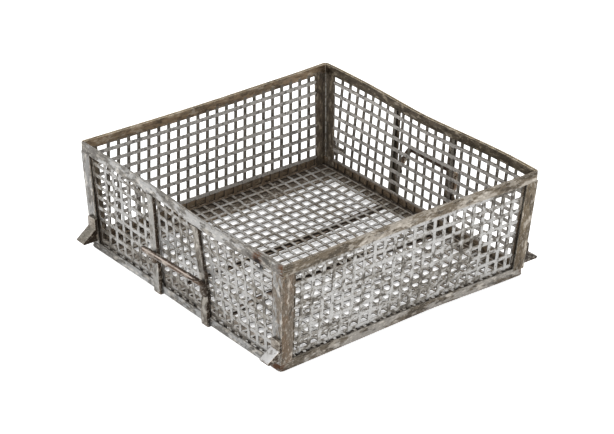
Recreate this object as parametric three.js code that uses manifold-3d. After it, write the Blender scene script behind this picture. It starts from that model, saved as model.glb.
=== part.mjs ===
import * as THREE from 'three';
import { mergeVertices } from 'three/addons/utils/BufferGeometryUtils.js';
import Module from 'manifold-3d';

// Driving dimensions, all in millimetres
const rimWidth = 482;          // outer width of the rim along X
const rimDepth = 504;          // outer depth of the rim along Y
const wallHeight = 178;        // underside of the base frame to the top of the rim
const flareX = 7;              // lean of each handle wall over its height
const flareY = 13.4;           // lean of each plain wall over its height
const cornerRadius = 7;        // rounding of the rim and base frame corners in plan
const gap = 0.3;               // clearance between neighbouring pieces
const rimTall = 16;            // height of a rim bar
const rimThick = 5.5;          // thickness of a rim bar
const rimEase = 0.8;           // worn edge of a rim bar
const angleThick = 3;          // thickness of the posts and the base frame
const baseLeg = 16;            // upright leg of the base frame
const shelfSide = 25;          // flat leg of the base frame under the floor, on the handle walls
const shelfEnd = 48;           // flat leg of the base frame under the floor, on the plain walls
const postLeg = 21.5;          // leg width of a corner post
const postRound = 2.5;         // rounding of the outer edge of a post
const strapWide = 15;          // width of a carrying strap
const strapThick = 3;          // thickness of a carrying strap
const strapBackY = 66;         // middle of the back strap along Y
const strapFrontY = -60;       // middle of the front strap along Y
const strapStep = 4.5;         // outward step of a strap over the base frame
const strapStepTop = 45;       // height above the base frame where the step starts
const strapStepEnd = 31;       // height above the base frame where the step ends
const strapBend = 4;           // radius where a strap turns under the base
const strapBendTurns = 3;      // flats round that bend
const barWide = 4.76;          // width of the bars between the square holes of a mesh panel
const barThick = 0.7;          // thickness of each of the two crossing layers of a panel
const pitch = 19.05;           // spacing of the bars, one hole and one bar
const barCount = 24;           // bars across each panel
const levelCount = 8;          // level bars on each wall
const levelTop = 153.5;        // height of the top level bar above the base frame
const levelStep = 18.8;        // drop from one level bar to the next
const barSink = 0.2;           // depth to which joined bars sink into each other
const rod = 9.5;               // diameter of the handle rod
const rodFlats = 5;            // flats round each half of the handle rod
const rodSteps = 40;           // lengths along the handle rod
const rodSpare = 12;           // spare length at each rod end before it is trimmed
const rodTrim = 32;            // half height of the block that trims the rod ends
const handleFoot = 58;         // height of the handle ends above the base frame
const handleBackY = 62;        // back end of a handle along Y
const handleFrontY = -65;      // front end of a handle along Y
const handleOut = 25;          // distance of the grip from the straps
const handleRiseLeft = 22;     // height of the left grip above its ends
const handleRiseRight = 31;    // height of the right grip above its ends, bent up further
const handleBend = 17;         // size of the handle bends
const lugThick = 5;            // thickness of a stacking lug
const lugWide = 20;            // width of a stacking lug
const lugTop = 54;             // top of a lug above the base frame
const lugRound = 7;            // rounding of the top corners of a lug
const lugKnee = 37;            // height of the bend of a lug above the base frame
const lugReach = 22.5;         // outward reach of the kicked end
const lugDrop = 14.5;          // drop of the kicked end
const lugWebWide = 17;         // width of the web under the kicked end
const lugWebSink = 1;          // depth to which that web runs into the lug
const mitreReach = 26;         // spare size of the blocks that cut the mitres
const arcFlats = 3;            // flats round a rounded corner
const mergeDistance = 1e-4;    // distance at which shared corners of a geometry are merged

// Heights measured from the ground, where the straps stand
const baseBottom = strapThick + gap;
const baseTop = baseBottom + baseLeg;
const rimTop = baseBottom + wallHeight;
const rimBottom = rimTop - rimTall;
const floorLow = baseBottom + angleThick + gap + barThick / 2;
const floorHigh = floorLow + barThick + gap;

// Layers of a wall, measured inward from its outer plane
const postInset = gap;
const legLean = flareY * baseLeg / wallHeight;
const uprightInset = angleThick + legLean + 2 * gap + barThick / 2;
const levelInset = uprightInset + barThick + gap;

const wasm = await Module();
wasm.setup();

const basket = new THREE.Group();
basket.name = 'factory_basket';

const steelLook = { color: 0x9b9994, roughness: 0.55, metalness: 0.8 };
const sheetLook = { color: 0x9a9894, roughness: 0.5, metalness: 0.8 };
const rodLook = { color: 0x7d6f63, roughness: 0.5, metalness: 0.8 };

// Outer half width and half depth of the leaning walls at height z
function halfX(z) {
  return rimWidth / 2 - flareX * (1 - (z - baseBottom) / wallHeight);
}

function halfY(z) {
  return rimDepth / 2 - flareY * (1 - (z - baseBottom) / wallHeight);
}

// Solid body of a closed geometry, with its faces turned outward
function toSolid(geometry) {
  const bare = geometry.clone();
  bare.deleteAttribute('normal');
  bare.deleteAttribute('uv');
  const merged = mergeVertices(bare, mergeDistance);
  const triangles = Uint32Array.from(merged.index.array);
  const corner = [new THREE.Vector3(), new THREE.Vector3(), new THREE.Vector3()];
  let volume = 0;
  for (let i = 0; i < triangles.length; i += 3) {
    corner.forEach((p, k) => p.fromBufferAttribute(merged.attributes.position, triangles[i + k]));
    volume += corner[0].dot(corner[1].clone().cross(corner[2]));
  }
  if (volume < 0) {
    triangles.reverse();
  }
  const vertProperties = merged.attributes.position.array;
  return new wasm.Manifold(new wasm.Mesh({ numProp: 3, vertProperties, triVerts: triangles }));
}

// Named piece made from a solid body
function addPiece(name, solid, look) {
  const mesh = solid.getMesh();
  const geometry = new THREE.BufferGeometry();
  geometry.setAttribute('position', new THREE.BufferAttribute(mesh.vertProperties, 3));
  geometry.setIndex(new THREE.BufferAttribute(mesh.triVerts, 1));
  geometry.computeVertexNormals();
  const piece = new THREE.Mesh(geometry, new THREE.MeshStandardMaterial({ name, ...look }));
  piece.name = name;
  basket.add(piece);
}

function joined(solids) {
  return solids.reduce((sum, solid) => sum.add(solid));
}

// Upright prism drawn in the XZ plane, with its thickness along Y
function sidePrism(shape, wide, middleY) {
  const geometry = new THREE.ExtrudeGeometry(shape, { depth: wide, bevelEnabled: false });
  geometry.rotateX(Math.PI / 2);
  geometry.translate(0, middleY + wide / 2, 0);
  return geometry;
}

// Rounded rectangle in plan, given half sizes and corner radius
function roundedPlan(path, hx, hy, r) {
  path.moveTo(-hx + r, -hy);
  path.lineTo(hx - r, -hy);
  path.absarc(hx - r, -hy + r, r, -Math.PI / 2, 0);
  path.lineTo(hx, hy - r);
  path.absarc(hx - r, hy - r, r, 0, Math.PI / 2);
  path.lineTo(-hx + r, hy);
  path.absarc(-hx + r, hy - r, r, Math.PI / 2, Math.PI);
  path.lineTo(-hx, -hy + r);
  path.absarc(-hx + r, -hy + r, r, Math.PI, Math.PI * 1.5);
  return path;
}

// Level frame whose bands are measured in plan, with its edges eased where ease is above zero
function levelFrame(hx, hy, bandX, bandY, bottom, tall, ease) {
  const innerRadius = Math.max(cornerRadius - bandX, 1);
  const outline = roundedPlan(new THREE.Shape(), hx - ease, hy - ease, cornerRadius);
  outline.holes.push(roundedPlan(new THREE.Path(), hx - bandX + ease, hy - bandY + ease, innerRadius));
  const geometry = new THREE.ExtrudeGeometry(outline, {
    depth: tall - 2 * ease,
    curveSegments: arcFlats,
    bevelEnabled: ease > 0,
    bevelThickness: ease,
    bevelSize: ease,
    bevelSegments: 1,
  });
  geometry.translate(0, 0, bottom + ease);
  return toSolid(geometry);
}

// The four sides of a frame, seen with the handles to the left and right
const turns = { front: 0, right: Math.PI / 2, back: Math.PI, left: -Math.PI / 2 };

// One side of a level frame, cut at the mitres of its two corners
function frameSide(frame, side, hx, hy) {
  const seam = gap / Math.SQRT2;
  const turned = side === 'left' || side === 'right';
  const along = turned ? hy : hx;
  const out = turned ? hx : hy;
  const shape = new THREE.Shape();
  shape.moveTo(-along - mitreReach + seam, -out - mitreReach);
  shape.lineTo(along + mitreReach - seam, -out - mitreReach);
  shape.lineTo(along - 2 * mitreReach - seam, -out + 2 * mitreReach);
  shape.lineTo(-along + 2 * mitreReach + seam, -out + 2 * mitreReach);
  const block = new THREE.ExtrudeGeometry(shape, { depth: rimTop + mitreReach, bevelEnabled: false });
  block.rotateZ(turns[side]);
  return frame.intersect(toSolid(block));
}

// Rim bars
const rimRing = levelFrame(rimWidth / 2, rimDepth / 2, rimThick, rimThick, rimBottom, rimTall, rimEase);
for (const side of Object.keys(turns)) {
  addPiece(`rim_bar_${side}`, frameSide(rimRing, side, rimWidth / 2, rimDepth / 2), steelLook);
}

// Base frame angles, an upright leg outside and a flat leg under the floor
const baseX = halfX(baseBottom);
const baseY = halfY(baseBottom);
const uprightLegs = levelFrame(baseX, baseY, angleThick, angleThick, baseBottom, baseLeg, 0);
const flatLegs = levelFrame(baseX, baseY, shelfSide, shelfEnd, baseBottom, angleThick, 0);
const baseRing = uprightLegs.add(flatLegs);
for (const side of Object.keys(turns)) {
  addPiece(`base_angle_${side}`, frameSide(baseRing, side, baseX, baseY), steelLook);
}

// Corner post, an angle that leans outward with both of its walls
function cornerPost(signX, signY) {
  const shape = new THREE.Shape();
  shape.moveTo(-postLeg, 0);
  shape.lineTo(-postRound, 0);
  shape.absarc(-postRound, -postRound, postRound, Math.PI / 2, 0, true);
  shape.lineTo(0, -postLeg);
  shape.lineTo(-angleThick, -postLeg);
  shape.lineTo(-angleThick, -angleThick);
  shape.lineTo(-postLeg, -angleThick);
  const bottom = baseTop + gap;
  const tall = rimBottom - gap - bottom;
  const geometry = new THREE.ExtrudeGeometry(shape, {
    depth: tall,
    curveSegments: arcFlats,
    bevelEnabled: false,
  });
  const lean = new THREE.Matrix4().makeShear(0, 0, 0, 0, flareX / wallHeight, flareY / wallHeight);
  geometry.applyMatrix4(lean);
  geometry.translate(halfX(bottom) - postInset, halfY(bottom) - postInset, bottom);
  geometry.scale(signX, signY, 1);
  return toSolid(geometry);
}

// Flat bar bent along a line of points in the XZ plane, its thickness on the left of the line
function bentBar(points, thick, wide, middleY) {
  const inner = points.map((p, i) => {
    const before = points[Math.max(i - 1, 0)];
    const after = points[Math.min(i + 1, points.length - 1)];
    const arriving = (i > 0 ? p.clone().sub(before) : after.clone().sub(p)).normalize();
    const leaving = (i < points.length - 1 ? after.clone().sub(p) : p.clone().sub(before)).normalize();
    const square = new THREE.Vector2(-arriving.y, arriving.x);
    const middle = square.clone().add(new THREE.Vector2(-leaving.y, leaving.x)).normalize();
    return p.clone().addScaledVector(middle, thick / middle.dot(square));
  });
  return sidePrism(new THREE.Shape([...points, ...inner.reverse()]), wide, middleY);
}

// Block across the whole basket along X, with rounded top corners in the YZ plane
function roundedTopBlock(middleY, wide, top) {
  const shape = new THREE.Shape();
  shape.moveTo(-wide / 2, 0);
  shape.lineTo(wide / 2, 0);
  shape.lineTo(wide / 2, top - lugRound);
  shape.absarc(wide / 2 - lugRound, top - lugRound, lugRound, 0, Math.PI / 2);
  shape.lineTo(-wide / 2 + lugRound, top);
  shape.absarc(-wide / 2 + lugRound, top - lugRound, lugRound, Math.PI / 2, Math.PI);
  const geometry = new THREE.ExtrudeGeometry(shape, {
    depth: rimWidth,
    curveSegments: arcFlats,
    bevelEnabled: false,
  });
  geometry.rotateX(Math.PI / 2);
  geometry.rotateZ(Math.PI / 2);
  geometry.translate(0, middleY, 0);
  return geometry;
}

// Stacking lug on the outer face of a post, kicked outward at its lower end over a triangular web
function stackingLug(signX, signY) {
  const top = baseBottom + lugTop;
  const knee = new THREE.Vector2(halfX(baseBottom + lugKnee), baseBottom + lugKnee);
  const tip = new THREE.Vector2(knee.x + lugReach, knee.y - lugDrop);
  const middleY = halfY(knee.y) - postInset - lugWide / 2;
  const plate = bentBar([new THREE.Vector2(halfX(top), top), knee, tip], lugThick, lugWide, middleY);
  const intoPlate = new THREE.Vector2(lugDrop, lugReach).setLength(lugWebSink);
  const heel = new THREE.Vector2(halfX(tip.y), tip.y);
  const webSide = [heel, tip, tip.clone().add(intoPlate), knee.clone().add(intoPlate), knee];
  const web = sidePrism(new THREE.Shape(webSide), lugWebWide, middleY);
  const block = roundedTopBlock(middleY, lugWide, top);
  for (const geometry of [plate, web, block]) {
    geometry.scale(signX, signY, 1);
  }
  return toSolid(plate).intersect(toSolid(block)).add(toSolid(web));
}

const corners = { front_left: [-1, -1], front_right: [1, -1], back_right: [1, 1], back_left: [-1, 1] };
for (const [name, signs] of Object.entries(corners)) {
  addPiece(`corner_post_${name}`, cornerPost(...signs), steelLook);
  addPiece(`stacking_lug_${name}`, stackingLug(...signs), steelLook);
}

// Outer line of a carrying strap: down the left wall, under the floor and up the right wall
function strapLine() {
  const top = rimBottom - gap;
  const stepTop = baseBottom + strapStepTop;
  const stepEnd = baseBottom + strapStepEnd;
  const footX = baseX - postInset + strapStep - strapBend;
  const right = [
    new THREE.Vector2(halfX(top) - postInset, top),
    new THREE.Vector2(halfX(stepTop) - postInset, stepTop),
    new THREE.Vector2(halfX(stepEnd) - postInset + strapStep, stepEnd),
  ];
  for (let i = 0; i <= strapBendTurns; i += 1) {
    const turn = (Math.PI / 2) * (i / strapBendTurns);
    right.push(new THREE.Vector2(footX + strapBend * Math.cos(turn), strapBend * (1 - Math.sin(turn))));
  }
  const left = right.map((p) => new THREE.Vector2(-p.x, p.y));
  return [...left, ...right.reverse()];
}

addPiece('strap_back', toSolid(bentBar(strapLine(), strapThick, strapWide, strapBackY)), steelLook);
addPiece('strap_front', toSolid(bentBar(strapLine(), strapThick, strapWide, strapFrontY)), steelLook);

// Handle on the right wall or mirrored to the left: a rod bent twice, its ends trimmed to the straps
function handle(sign, handleRise) {
  const foot = baseBottom + handleFoot;
  const faceX = (z) => halfX(z) - postInset + gap;
  const slope = new THREE.Vector3(handleOut, 0, handleRise).normalize();
  const span = Math.hypot(handleOut, handleRise);
  const bendAt = span - handleBend;
  const at = (y, along) => new THREE.Vector3(faceX(foot), y, foot).addScaledVector(slope, along);
  const backBend = [at(handleBackY, bendAt), at(handleBackY, span), at(handleBackY - handleBend, span)];
  const frontBend = [at(handleFrontY + handleBend, span), at(handleFrontY, span), at(handleFrontY, bendAt)];
  const path = new THREE.CurvePath();
  path.add(new THREE.LineCurve3(at(handleBackY, -rodSpare), backBend[0]));
  path.add(new THREE.QuadraticBezierCurve3(...backBend));
  path.add(new THREE.LineCurve3(backBend[2], frontBend[0]));
  path.add(new THREE.QuadraticBezierCurve3(...frontBend));
  path.add(new THREE.LineCurve3(frontBend[2], at(handleFrontY, -rodSpare)));
  const section = new THREE.Shape();
  section.absarc(0, 0, rod / 2, 0, Math.PI * 2);
  const bar = new THREE.ExtrudeGeometry(section, {
    steps: rodSteps,
    curveSegments: rodFlats,
    extrudePath: path,
  });
  const low = foot - rodTrim;
  const high = foot + rodTrim;
  const inside = new THREE.Shape();
  inside.moveTo(0, low);
  inside.lineTo(faceX(low), low);
  inside.lineTo(faceX(high), high);
  inside.lineTo(0, high);
  bar.scale(sign, 1, 1);
  const trim = sidePrism(inside, rimDepth, 0);
  trim.scale(sign, 1, 1);
  return toSolid(bar).subtract(toSolid(trim));
}

addPiece('handle_right', handle(1, handleRiseRight), rodLook);
addPiece('handle_left', handle(-1, handleRiseLeft), rodLook);

// Flat bar of a mesh panel between two points, its width along the unit vector across
function panelBar(from, to, across) {
  const along = to.clone().sub(from);
  const geometry = new THREE.BoxGeometry(barWide, along.length(), barThick);
  along.normalize();
  const square = across.clone().cross(along);
  geometry.applyMatrix4(new THREE.Matrix4().makeBasis(across, along, square));
  geometry.translate((from.x + to.x) / 2, (from.y + to.y) / 2, (from.z + to.z) / 2);
  return toSolid(geometry);
}

// Places of the bars across a panel, measured from its middle, and heights of the level bars
const places = Array.from({ length: barCount }, (_, i) => (i - (barCount - 1) / 2) * pitch);
const [firstPlace, ...otherPlaces] = places;
const levels = Array.from({ length: levelCount }, (_, i) => baseBottom + levelTop - i * levelStep);
const [topLevel, ...otherLevels] = levels;

// One wall of square-hole mesh in two crossing layers: upright bars held by the top level bar,
// and the other level bars held by the end uprights
function wallMesh(name, sideAt, pointAt) {
  const low = floorHigh + barThick / 2 + gap;
  const high = rimBottom - gap;
  const lean = pointAt(0, 0, high).sub(pointAt(0, 0, low)).normalize();
  const level = pointAt(1, 0, low).sub(pointAt(0, 0, low));
  const reach = (z) => sideAt(z) - levelInset - barThick / 2 - 2 * gap;
  const uprightBar = (s, inset) => panelBar(pointAt(s, inset, low), pointAt(s, inset, high), level);
  const levelBar = (z, inset, end) => panelBar(pointAt(-end, inset, z), pointAt(end, inset, z), lean);
  const uprights = places.slice(1, -1).map((s) => uprightBar(s, uprightInset));
  uprights.push(levelBar(topLevel, levelInset - gap - barSink, -firstPlace - barWide / 2 - gap));
  addPiece(`mesh_${name}_uprights`, joined(uprights), sheetLook);
  const levelBars = otherLevels.map((z) => levelBar(z, levelInset, reach(z)));
  levelBars.push(uprightBar(firstPlace, uprightInset + gap + barSink));
  levelBars.push(uprightBar(-firstPlace, uprightInset + gap + barSink));
  addPiece(`mesh_${name}_levels`, joined(levelBars), sheetLook);
}

wallMesh('front', halfX, (s, inset, z) => new THREE.Vector3(s, -halfY(z) + inset, z));
wallMesh('right', halfY, (s, inset, z) => new THREE.Vector3(halfX(z) - inset, s, z));
wallMesh('back', halfX, (s, inset, z) => new THREE.Vector3(s, halfY(z) - inset, z));
wallMesh('left', halfY, (s, inset, z) => new THREE.Vector3(-halfX(z) + inset, s, z));

// Floor mesh: lengthwise bars held by one crosswise bar,
// and the other crosswise bars held by one lengthwise bar
const floorEndX = barWide / 2 + gap - firstPlace;
const floorEndY = baseY - angleThick - 2 * gap;

function lengthwiseBar(y, z) {
  const start = new THREE.Vector3(-floorEndX, y, z);
  return panelBar(start, new THREE.Vector3(floorEndX, y, z), new THREE.Vector3(0, 1, 0));
}

function crosswiseBar(x, z, startY = -floorEndY) {
  const start = new THREE.Vector3(x, startY, z);
  return panelBar(start, new THREE.Vector3(x, floorEndY, z), new THREE.Vector3(1, 0, 0));
}

const lengthwise = otherPlaces.map((y) => lengthwiseBar(y, floorLow));
lengthwise.push(crosswiseBar(firstPlace, floorHigh - gap - barSink, firstPlace + barWide / 2 + gap));
addPiece('mesh_floor_lengthwise', joined(lengthwise), sheetLook);

const crosswise = otherPlaces.map((x) => crosswiseBar(x, floorHigh));
crosswise.push(lengthwiseBar(firstPlace, floorLow + gap + barSink));
addPiece('mesh_floor_crosswise', joined(crosswise), sheetLook);

export default basket;
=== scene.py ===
# %% [markdown]
# # A factory basket in bare steel
#
# The object is a shallow steel basket from a workshop. Flat bars make its rim, bent angles make its base,
# and thin sheets with square holes fill the walls and the floor. The solid model gives every piece its
# true size and place. This lesson dresses those pieces: it rebuilds each bar and sheet with soft edges and
# the bows that years of use have left, gives the steel its stains and some painted light and shade, and
# sets up the camera and the light.

import math

import bmesh
import bpy
import numpy as np
from mathutils import Matrix, Vector


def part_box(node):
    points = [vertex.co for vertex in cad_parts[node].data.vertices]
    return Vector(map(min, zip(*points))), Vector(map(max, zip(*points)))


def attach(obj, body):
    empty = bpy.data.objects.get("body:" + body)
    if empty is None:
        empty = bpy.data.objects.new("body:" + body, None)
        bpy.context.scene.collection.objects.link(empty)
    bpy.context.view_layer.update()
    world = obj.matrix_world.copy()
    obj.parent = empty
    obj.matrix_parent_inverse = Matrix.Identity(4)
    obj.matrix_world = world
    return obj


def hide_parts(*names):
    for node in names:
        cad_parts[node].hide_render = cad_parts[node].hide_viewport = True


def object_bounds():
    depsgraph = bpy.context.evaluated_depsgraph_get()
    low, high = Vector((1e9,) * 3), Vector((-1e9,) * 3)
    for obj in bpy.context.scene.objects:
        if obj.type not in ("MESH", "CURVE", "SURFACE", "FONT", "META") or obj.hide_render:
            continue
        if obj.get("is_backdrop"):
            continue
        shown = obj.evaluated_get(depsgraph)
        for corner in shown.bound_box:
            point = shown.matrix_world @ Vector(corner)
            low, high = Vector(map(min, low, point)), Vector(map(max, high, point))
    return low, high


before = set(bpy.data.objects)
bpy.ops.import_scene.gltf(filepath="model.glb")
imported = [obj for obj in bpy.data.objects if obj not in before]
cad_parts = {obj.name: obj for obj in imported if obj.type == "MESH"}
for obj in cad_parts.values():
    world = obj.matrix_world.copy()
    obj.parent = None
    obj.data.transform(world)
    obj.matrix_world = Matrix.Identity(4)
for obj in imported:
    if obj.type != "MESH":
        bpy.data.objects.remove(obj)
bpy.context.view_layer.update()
MM = 0.001

# %% [markdown]
# ## Sizes read from the frame
#
# Everything that the solid model already knows is measured on it, so the two never disagree. The walls
# lean outward: the rim is wider than the base, and two small functions give the outer half width of the
# basket at any height. The rest of the lesson places its pieces by these functions.

# %% Measure the frame
rim_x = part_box("rim_bar_right")[1].x
rim_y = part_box("rim_bar_back")[1].y
rim_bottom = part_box("rim_bar_front")[0].z
rim_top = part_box("rim_bar_front")[1].z
base_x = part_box("base_angle_right")[1].x
base_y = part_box("base_angle_back")[1].y
base_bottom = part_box("base_angle_front")[0].z
base_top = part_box("base_angle_front")[1].z


def climb(z):
    """Share of the wall's height: 0 at the foot of the base and 1 at the top of the rim."""
    return (z - base_bottom) / (rim_top - base_bottom)


def wall_x(z):
    return base_x + (rim_x - base_x) * climb(z)


def wall_y(z):
    return base_y + (rim_y - base_y) * climb(z)


print("rim reaches", round(rim_x, 4), round(rim_y, 4), "base reaches", round(base_x, 4), round(base_y, 4))

# %% [markdown]
# ## The camera
#
# The photograph looks down on one corner of the basket from about four paces, through a long lens, so the
# sides hardly converge. The camera is placed by its azimuth and elevation round the basket, then slid a
# little sideways and up in its own picture plane so that the basket sits where it does in the picture.
# Sliding the camera does the work of a lens shift, and depth of field stays off.

# %% Camera
picture_width = 614
focal_pixels = 2297
azimuth = math.radians(-38.84)
elevation = math.radians(27.69)
roll = math.radians(0.62)
distance = 3532.1 * MM
slide_right = 2.5 * MM
slide_up = 66.1 * MM
sensor = 36


def put_in_scene(name, data):
    made = bpy.data.objects.new(name, data)
    bpy.context.scene.collection.objects.link(made)
    return made


toward_camera = Vector((
    math.sin(azimuth) * math.cos(elevation),
    -math.cos(azimuth) * math.cos(elevation),
    math.sin(elevation),
))
level_right = Vector((math.cos(azimuth), math.sin(azimuth), 0))
level_up = toward_camera.cross(level_right)
picture_right = math.cos(roll) * level_right + math.sin(roll) * level_up
picture_up = math.cos(roll) * level_up - math.sin(roll) * level_right

lens_data = bpy.data.cameras.new("camera")
lens_data.sensor_width = sensor
lens_data.lens = focal_pixels * sensor / picture_width
camera = put_in_scene("camera", lens_data)
turn = Matrix((picture_right, picture_up, toward_camera)).transposed()
spot = toward_camera * distance + picture_right * slide_right + picture_up * slide_up
spot.z += base_bottom
camera.matrix_world = Matrix.Translation(spot) @ turn.to_4x4()
bpy.context.scene.camera = camera
print("lens", round(lens_data.lens, 1), "mm, camera at", [round(c, 3) for c in spot])

# %% [markdown]
# ## Small helpers for shader nodes
#
# A procedural finish is a chain of nodes. One helper fills a node's sockets with numbers or links, and
# another adds a node and fills it, so that each finish below reads as a short recipe. A socket is named by
# its label, or by an underscore and its number where labels repeat.


# %% Add a node
def plug(tree, node, sockets):
    for name, value in sockets.items():
        socket = node.inputs[int(name[1:])] if name[0] == "_" else node.inputs[name]
        if isinstance(value, bpy.types.NodeSocket):
            tree.links.new(value, socket)
        else:
            socket.default_value = value


def add_node(tree, kind, settings=None, **sockets):
    made = tree.nodes.new(kind)
    for name, value in (settings or {}).items():
        setattr(made, name, value)
    plug(tree, made, sockets)
    return made


print("nodes can be added")


# %% Patterns and sums
def noise(tree, where, scale, detail, rough):
    made = add_node(tree, "ShaderNodeTexNoise", Vector=where, Scale=scale, Detail=detail, Roughness=rough)
    return made.outputs["Fac"]


def stretch(tree, where, scale, shift=(0, 0, 0)):
    made = add_node(tree, "ShaderNodeMapping", Vector=where, Location=shift, Scale=scale)
    return made.outputs["Vector"]


def fade(tree, value, start, end, low=0.0, high=1.0):
    """A soft ramp, from low where the value is at the start to high where it is at the end."""
    settings = {"interpolation_type": "SMOOTHSTEP"}
    made = add_node(tree, "ShaderNodeMapRange", settings, Value=value, _1=start, _2=end, _3=low, _4=high)
    return made.outputs["Result"]


def combine(tree, operation, first, *others):
    for other in others:
        made = add_node(tree, "ShaderNodeMath", {"operation": operation}, _0=first, _1=other)
        first = made.outputs["Value"]
    return first


def times(tree, *factors):
    return combine(tree, "MULTIPLY", *factors)


def total(tree, *parts):
    return combine(tree, "ADD", *parts)


def largest(tree, *values):
    return combine(tree, "MAXIMUM", *values)


def vector_step(tree, operation, first, second=(0, 0, 0)):
    made = add_node(tree, "ShaderNodeVectorMath", {"operation": operation}, _0=first, _1=second)
    gives_number = operation in ("DOT_PRODUCT", "DISTANCE", "LENGTH")
    return made.outputs["Value" if gives_number else "Vector"]


print("patterns and sums ready")


# %% Layers
def cover(tree, below, above, *shares):
    """One colour laid over another, as thick as the product of the shares."""
    share = times(tree, *shares)
    return add_node(tree, "ShaderNodeMix", {"data_type": "RGBA"}, _0=share, _6=below, _7=above).outputs[2]


def blend_value(tree, share, first, second):
    return add_node(tree, "ShaderNodeMix", _0=share, _2=first, _3=second).outputs[0]


def bump(tree, height, strength, distance):
    made = add_node(tree, "ShaderNodeBump", Strength=strength, Distance=distance, Height=height)
    return made.outputs["Normal"]


print("layers ready")

# %% [markdown]
# ## Floor, backdrop and light
#
# The picture has a plain white ground. A white floor lit hard enough to clip would also burn out the
# steel, so the floor gets part of its whiteness another way: to the camera, and to reflections in the
# metal, it glows a little and adds the light that falls on it. Under the basket it glows less, a painted
# shade over the basket's footprint, and the shade of the bars shows between the holes. That painted patch
# ends a little inside the base, so that no grey ring shows round the basket. To all other rays it is an
# ordinary pale floor.

# %% Floor
floor_size = 40.0
glow_painted_shade = 0.36
glow_open = 0.93
glow_fade = 8 * MM
glow_edge = 20 * MM
floor_catch = (0.8, 0.8, 0.8, 1)
WHITE = (1, 1, 1, 1)


def by_ray(tree, other, seen):
    """One shader for what is seen straight on or reflected, and another for all other light."""
    rays = add_node(tree, "ShaderNodeLightPath").outputs
    share = largest(tree, rays["Is Camera Ray"], rays["Is Glossy Ray"], rays["Is Transmission Ray"])
    made = add_node(tree, "ShaderNodeMixShader", _0=share, _1=other.outputs[0], _2=seen.outputs[0])
    return made.outputs[0]


floor_paint = bpy.data.materials.new("pale_floor")
floor_paint.use_nodes = True
tree = floor_paint.node_tree
tree.nodes.clear()
where = add_node(tree, "ShaderNodeTexCoord").outputs["Object"]
beyond = vector_step(tree, "ABSOLUTE", where)
beyond = vector_step(tree, "SUBTRACT", beyond, (base_x - glow_edge, base_y - glow_edge, 0))
beyond = vector_step(tree, "MAXIMUM", beyond)
beyond = vector_step(tree, "LENGTH", beyond)
# painted shade: inside the base line the floor glows less, so the ground under the basket looks shaded
strength = fade(tree, beyond, 0, glow_fade, glow_painted_shade, glow_open)
glow = add_node(tree, "ShaderNodeEmission", Color=WHITE, Strength=strength)
plain = add_node(tree, "ShaderNodeBsdfDiffuse", Color=floor_catch)
lit = add_node(tree, "ShaderNodeAddShader", _0=glow.outputs[0], _1=plain.outputs[0])
add_node(tree, "ShaderNodeOutputMaterial", Surface=by_ray(tree, plain, lit))


def mesh_from(name, bm, materials):
    mesh = bpy.data.meshes.new(name)
    bm.to_mesh(mesh)
    bm.free()
    for material in materials:
        mesh.materials.append(material)
    return mesh


bm = bmesh.new()
bmesh.ops.create_grid(bm, x_segments=1, y_segments=1, size=floor_size / 2)
floor = put_in_scene("floor", mesh_from("floor", bm, [floor_paint]))
floor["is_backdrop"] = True
print("floor", floor_size, "m across")

# %% [markdown]
# The world is treated in the same way: white where it is seen, and a weaker even light for the rest. One
# big soft lamp stands up and to the left of the camera, as a window or a softbox would, and a weaker one
# hangs above. They add their gleam to the painted highlights on the top edges and the bare lug.

# %% World
fill_strength = 0.5
world = bpy.data.worlds.new("studio")
world.use_nodes = True
bpy.context.scene.world = world
tree = world.node_tree
tree.nodes.clear()
backdrop = add_node(tree, "ShaderNodeBackground", Color=WHITE, Strength=1.0)
fill = add_node(tree, "ShaderNodeBackground", Color=WHITE, Strength=fill_strength)
add_node(tree, "ShaderNodeOutputWorld", Surface=by_ray(tree, fill, backdrop))
bpy.context.scene.view_settings.view_transform = "Standard"
print("even light of", fill_strength)


# %% Lamps
def softbox(name, place, aim, size, watts):
    lamp_data = bpy.data.lights.new(name, "AREA")
    lamp_data.shape = "DISK"
    lamp_data.size = size
    lamp_data.energy = watts
    lamp = put_in_scene(name, lamp_data)
    lamp.location = place
    lamp.rotation_mode = "QUATERNION"
    lamp.rotation_quaternion = (aim - place).to_track_quat("-Z", "Y")
    print(name, "lamp of", watts, "watts")


middle = Vector((0, 0, rim_top / 2))
softbox("key", Vector((-1.5, -0.6, 2.0)), middle, size=1.2, watts=30)
softbox("top", Vector((0.4, 0.5, 2.2)), middle, size=1.0, watts=18)

# %% [markdown]
# ## The finish of the steel
#
# The steel was never painted. The outside is grey, and faces that look into the basket are a dark olive
# brown, partly stain and partly painted shade of the interior. Tan stains lie over the grey in sharp-edged
# patches drawn out along the bars, dark blotches lie over those, grime and painted shade sit in every
# corner that a rag can't reach, edges are rubbed bright, a few faces get a painted highlight, and a few
# spots have rusted. The recipe mixes these colours by noise of different sizes. Colours are written as the
# red, green and blue of a screen, from 0 to 255, because they are easiest to compare that way, and one
# function turns them into the linear values that Blender works with.


# %% Colours of worn steel
def screen(red, green, blue):
    return tuple(((c / 255 + 0.055) / 1.055) ** 2.4 for c in (red, green, blue)) + (1.0,)


GRIME_AND_SHADE = screen(44, 38, 31)
RUBBED = screen(208, 201, 190)
RUST = screen(98, 66, 44)
INNER_RUB = screen(190, 176, 154)
TEAR_SHADE_BLACK = screen(14, 11, 9)
cool_grey = screen(150, 149, 147)
cool_stain = screen(108, 104, 98)
warm_grey = screen(147, 140, 130)
tan_stain = screen(108, 96, 79)
olive = screen(98, 82, 60)
lit_top_tan = screen(158, 142, 114)
print("steel colours ready")

# %% [markdown]
# A few measurements decide where a colour goes. A point counts as inside when its surface faces the middle
# of the basket, which a dot product of the normal and the position tells. An edge shows where a rounded
# copy of the normal differs from the true one. A crevice shows where little open air is seen from the
# point. Single spots, such as a tear, are named by their places.


# %% Where a surface lies
def facing(tree, direction, start=0.4, end=0.8):
    normal = add_node(tree, "ShaderNodeNewGeometry").outputs["Normal"]
    return fade(tree, vector_step(tree, "DOT_PRODUCT", normal, direction), start, end)


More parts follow.
